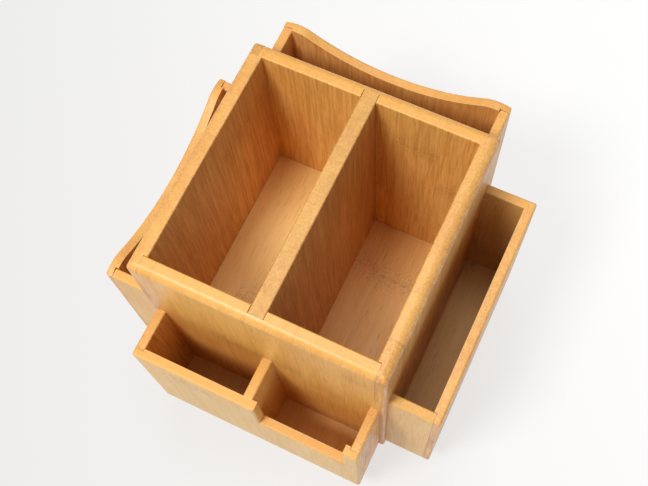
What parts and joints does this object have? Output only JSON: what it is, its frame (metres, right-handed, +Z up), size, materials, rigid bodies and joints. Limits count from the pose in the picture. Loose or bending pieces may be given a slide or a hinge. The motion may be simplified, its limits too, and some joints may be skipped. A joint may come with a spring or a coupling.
{
  "type": "revolving desk organizer",
  "caption": "Square bamboo desk caddy with a divided tall core and open trays and pockets on all four sides, turning on a low round stand.",
  "frame": {"origin": "on the table, on the turning axis of the caddy", "axes": "+Z up along the turning axis; at rest -Y is the side of the divided low tray with the cut-down front, +X the side of the long plain tray, -X the low pocket with a curved top and +Y the tall pocket with a curved top"},
  "size_m": [0.1694, 0.1694, 0.1575],
  "materials": {
    "bamboo_board": "satin lacquer over edge-glued bamboo strips, upright grain",
    "bamboo_floor": "thin lacquer over flat-grain bamboo",
    "bamboo_base": "satin lacquer over edge-glued bamboo strips",
    "zinc_plate": "bright zinc plated pressed sheet",
    "steel_balls": "polished and greased",
    "steel_screws": "zinc plated",
    "rubber_feet": "matt moulded rubber"
  },
  "bodies": {
    "stand": {"base": "bamboo_base", "feet": "rubber_feet", "lower_bearing_plate": "zinc_plate", "bearing_balls": "steel_balls", "bearing_rivet": "zinc_plate", "lower_plate_screws": "steel_screws"},
    "caddy": {"core_left_panel": "bamboo_board", "core_right_panel": "bamboo_board", "core_front_panel": "bamboo_board", "core_back_panel": "bamboo_board", "core_divider": "bamboo_board", "front_tray_front_wall": "bamboo_board", "front_tray_left_wall": "bamboo_board", "front_tray_right_wall": "bamboo_board", "front_tray_divider": "bamboo_board", "right_tray_outer_wall": "bamboo_board", "right_tray_front_wall": "bamboo_board", "right_tray_back_wall": "bamboo_board", "back_pocket_outer_wall": "bamboo_board", "back_pocket_right_wall": "bamboo_board", "back_pocket_left_wall": "bamboo_board", "left_pocket_outer_wall": "bamboo_board", "left_pocket_back_wall": "bamboo_board", "left_pocket_front_wall": "bamboo_board", "core_floor": "bamboo_floor", "raised_floor": "bamboo_floor", "front_tray_floor": "bamboo_floor", "right_tray_floor": "bamboo_floor", "back_pocket_floor": "bamboo_floor", "left_pocket_floor": "bamboo_floor", "upper_bearing_plate": "zinc_plate", "upper_plate_screws": "steel_screws"}
  },
  "joints": [
    {"name": "turntable_spin", "type": "hinge", "parent": "stand", "child": "caddy", "pos_m": [0, 0, 0], "axis": [0, 0, 1], "continuous": true}
  ]
}
